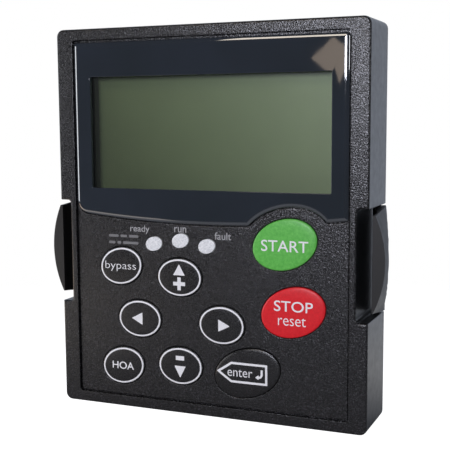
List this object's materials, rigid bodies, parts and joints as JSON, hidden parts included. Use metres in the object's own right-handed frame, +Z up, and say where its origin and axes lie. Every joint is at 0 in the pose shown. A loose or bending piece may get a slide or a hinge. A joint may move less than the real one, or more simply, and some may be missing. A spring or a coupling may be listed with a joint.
{
  "type": "variable frequency drive operator keypad",
  "caption": "Plug-in operator keypad of a variable frequency drive: display window, oval keys and lamps in a shallow black box with squeeze latches at the sides and a socket at the rear.",
  "frame": {"origin": "centre of the bounding box's bottom face; the bottom of the skirt rests on Z = 0", "axes": "+Z up along the height of the face, the keys and display face -Y, +Y towards the drive it plugs into, +X to the right of someone facing it"},
  "size_m": [0.1138, 0.027, 0.124],
  "materials": {
    "housing_plastic": "fine spark-eroded texture",
    "overlay_plastic": "fine spark-eroded texture with white printed legends",
    "latch_plastic": "satin",
    "bezel_plastic": "polished",
    "window_clear": "clear",
    "lcd": "blank reflective display behind glass",
    "backlight": "diffusing",
    "key_black": "fine texture with white ring",
    "key_green": "satin",
    "key_red": "satin",
    "lamp_white": "grained diffuser",
    "led": "moulded",
    "board_green": "solder resist",
    "component_black": "moulded",
    "contact_rubber": "matt",
    "dome_steel": "stamped",
    "screw_steel": "zinc plated",
    "shell_steel": "tin plated"
  },
  "bodies": {
    "housing": {"front_housing": "housing_plastic", "rear_cover": "housing_plastic", "keypad_overlay": "overlay_plastic", "display_bezel": "bezel_plastic", "display_window": "window_clear", "lcd_frame": "component_black", "lcd_glass": "lcd", "lcd_backlight": "backlight", "contact_strip_upper": "contact_rubber", "contact_strip_lower": "contact_rubber", "key_board": "board_green", "main_board": "board_green", "board_connector": "component_black", "microcontroller": "component_black", "memory_chip": "component_black", "crystal": "shell_steel", "capacitor": "shell_steel", "socket_shell": "shell_steel", "socket_contacts": "component_black", "jack_screw_left": "screw_steel", "jack_screw_right": "screw_steel", "main_board_screw_left": "screw_steel", "main_board_screw_right": "screw_steel", "cover_screw_1": "screw_steel", "key_board_screw_1": "screw_steel", "cover_screw_2": "screw_steel", "key_board_screw_2": "screw_steel", "cover_screw_3": "screw_steel", "key_board_screw_3": "screw_steel", "cover_screw_4": "screw_steel", "key_board_screw_4": "screw_steel", "lamp_window_ready": "lamp_white", "led_ready": "led", "lamp_window_run": "lamp_white", "led_run": "led", "lamp_window_fault": "lamp_white", "led_fault": "led", "dome_start": "dome_steel", "dome_stop": "dome_steel", "dome_enter": "dome_steel", "dome_bypass": "dome_steel", "dome_hoa": "dome_steel", "dome_up": "dome_steel", "dome_down": "dome_steel", "dome_left": "dome_steel", "dome_right": "dome_steel"},
    "key_start_body": {"key_start": "key_green"},
    "key_stop_body": {"key_stop": "key_red"},
    "key_enter_body": {"key_enter": "key_black"},
    "key_bypass_body": {"key_bypass": "key_black"},
    "key_hoa_body": {"key_hoa": "key_black"},
    "key_up_body": {"key_up": "key_black"},
    "key_down_body": {"key_down": "key_black"},
    "key_left_body": {"key_left": "key_black"},
    "key_right_body": {"key_right": "key_black"},
    "latch_left_body": {"latch_left": "latch_plastic"},
    "latch_right_body": {"latch_right": "latch_plastic"}
  },
  "joints": [
    {"name": "key_start_press", "type": "slide", "parent": "housing", "child": "key_start_body", "axis": [0, 1, 0], "range_m": [0, 0.0005], "stiffness_N_per_m": 1500, "springref_m": -0.001},
    {"name": "key_stop_press", "type": "slide", "parent": "housing", "child": "key_stop_body", "axis": [0, 1, 0], "range_m": [0, 0.0005], "stiffness_N_per_m": 1500, "springref_m": -0.001},
    {"name": "key_enter_press", "type": "slide", "parent": "housing", "child": "key_enter_body", "axis": [0, 1, 0], "range_m": [0, 0.0005], "stiffness_N_per_m": 1500, "springref_m": -0.001},
    {"name": "key_bypass_press", "type": "slide", "parent": "housing", "child": "key_bypass_body", "axis": [0, 1, 0], "range_m": [0, 0.0005], "stiffness_N_per_m": 1500, "springref_m": -0.001},
    {"name": "key_hoa_press", "type": "slide", "parent": "housing", "child": "key_hoa_body", "axis": [0, 1, 0], "range_m": [0, 0.0005], "stiffness_N_per_m": 1500, "springref_m": -0.001},
    {"name": "key_up_press", "type": "slide", "parent": "housing", "child": "key_up_body", "axis": [0, 1, 0], "range_m": [0, 0.0005], "stiffness_N_per_m": 1500, "springref_m": -0.001},
    {"name": "key_down_press", "type": "slide", "parent": "housing", "child": "key_down_body", "axis": [0, 1, 0], "range_m": [0, 0.0005], "stiffness_N_per_m": 1500, "springref_m": -0.001},
    {"name": "key_left_press", "type": "slide", "parent": "housing", "child": "key_left_body", "axis": [0, 1, 0], "range_m": [0, 0.0005], "stiffness_N_per_m": 1500, "springref_m": -0.001},
    {"name": "key_right_press", "type": "slide", "parent": "housing", "child": "key_right_body", "axis": [0, 1, 0], "range_m": [0, 0.0005], "stiffness_N_per_m": 1500, "springref_m": -0.001},
    {"name": "latch_left_squeeze", "type": "hinge", "parent": "housing", "child": "latch_left_body", "pos_m": [-0.0506, 0.0051, 0.0514], "axis": [0, 0, 1], "range_deg": [0, 10], "stiffness_Nm_per_rad": 0.65},
    {"name": "latch_right_squeeze", "type": "hinge", "parent": "housing", "child": "latch_right_body", "pos_m": [0.0506, 0.0051, 0.0514], "axis": [0, 0, -1], "range_deg": [0, 10], "stiffness_Nm_per_rad": 0.65}
  ]
}
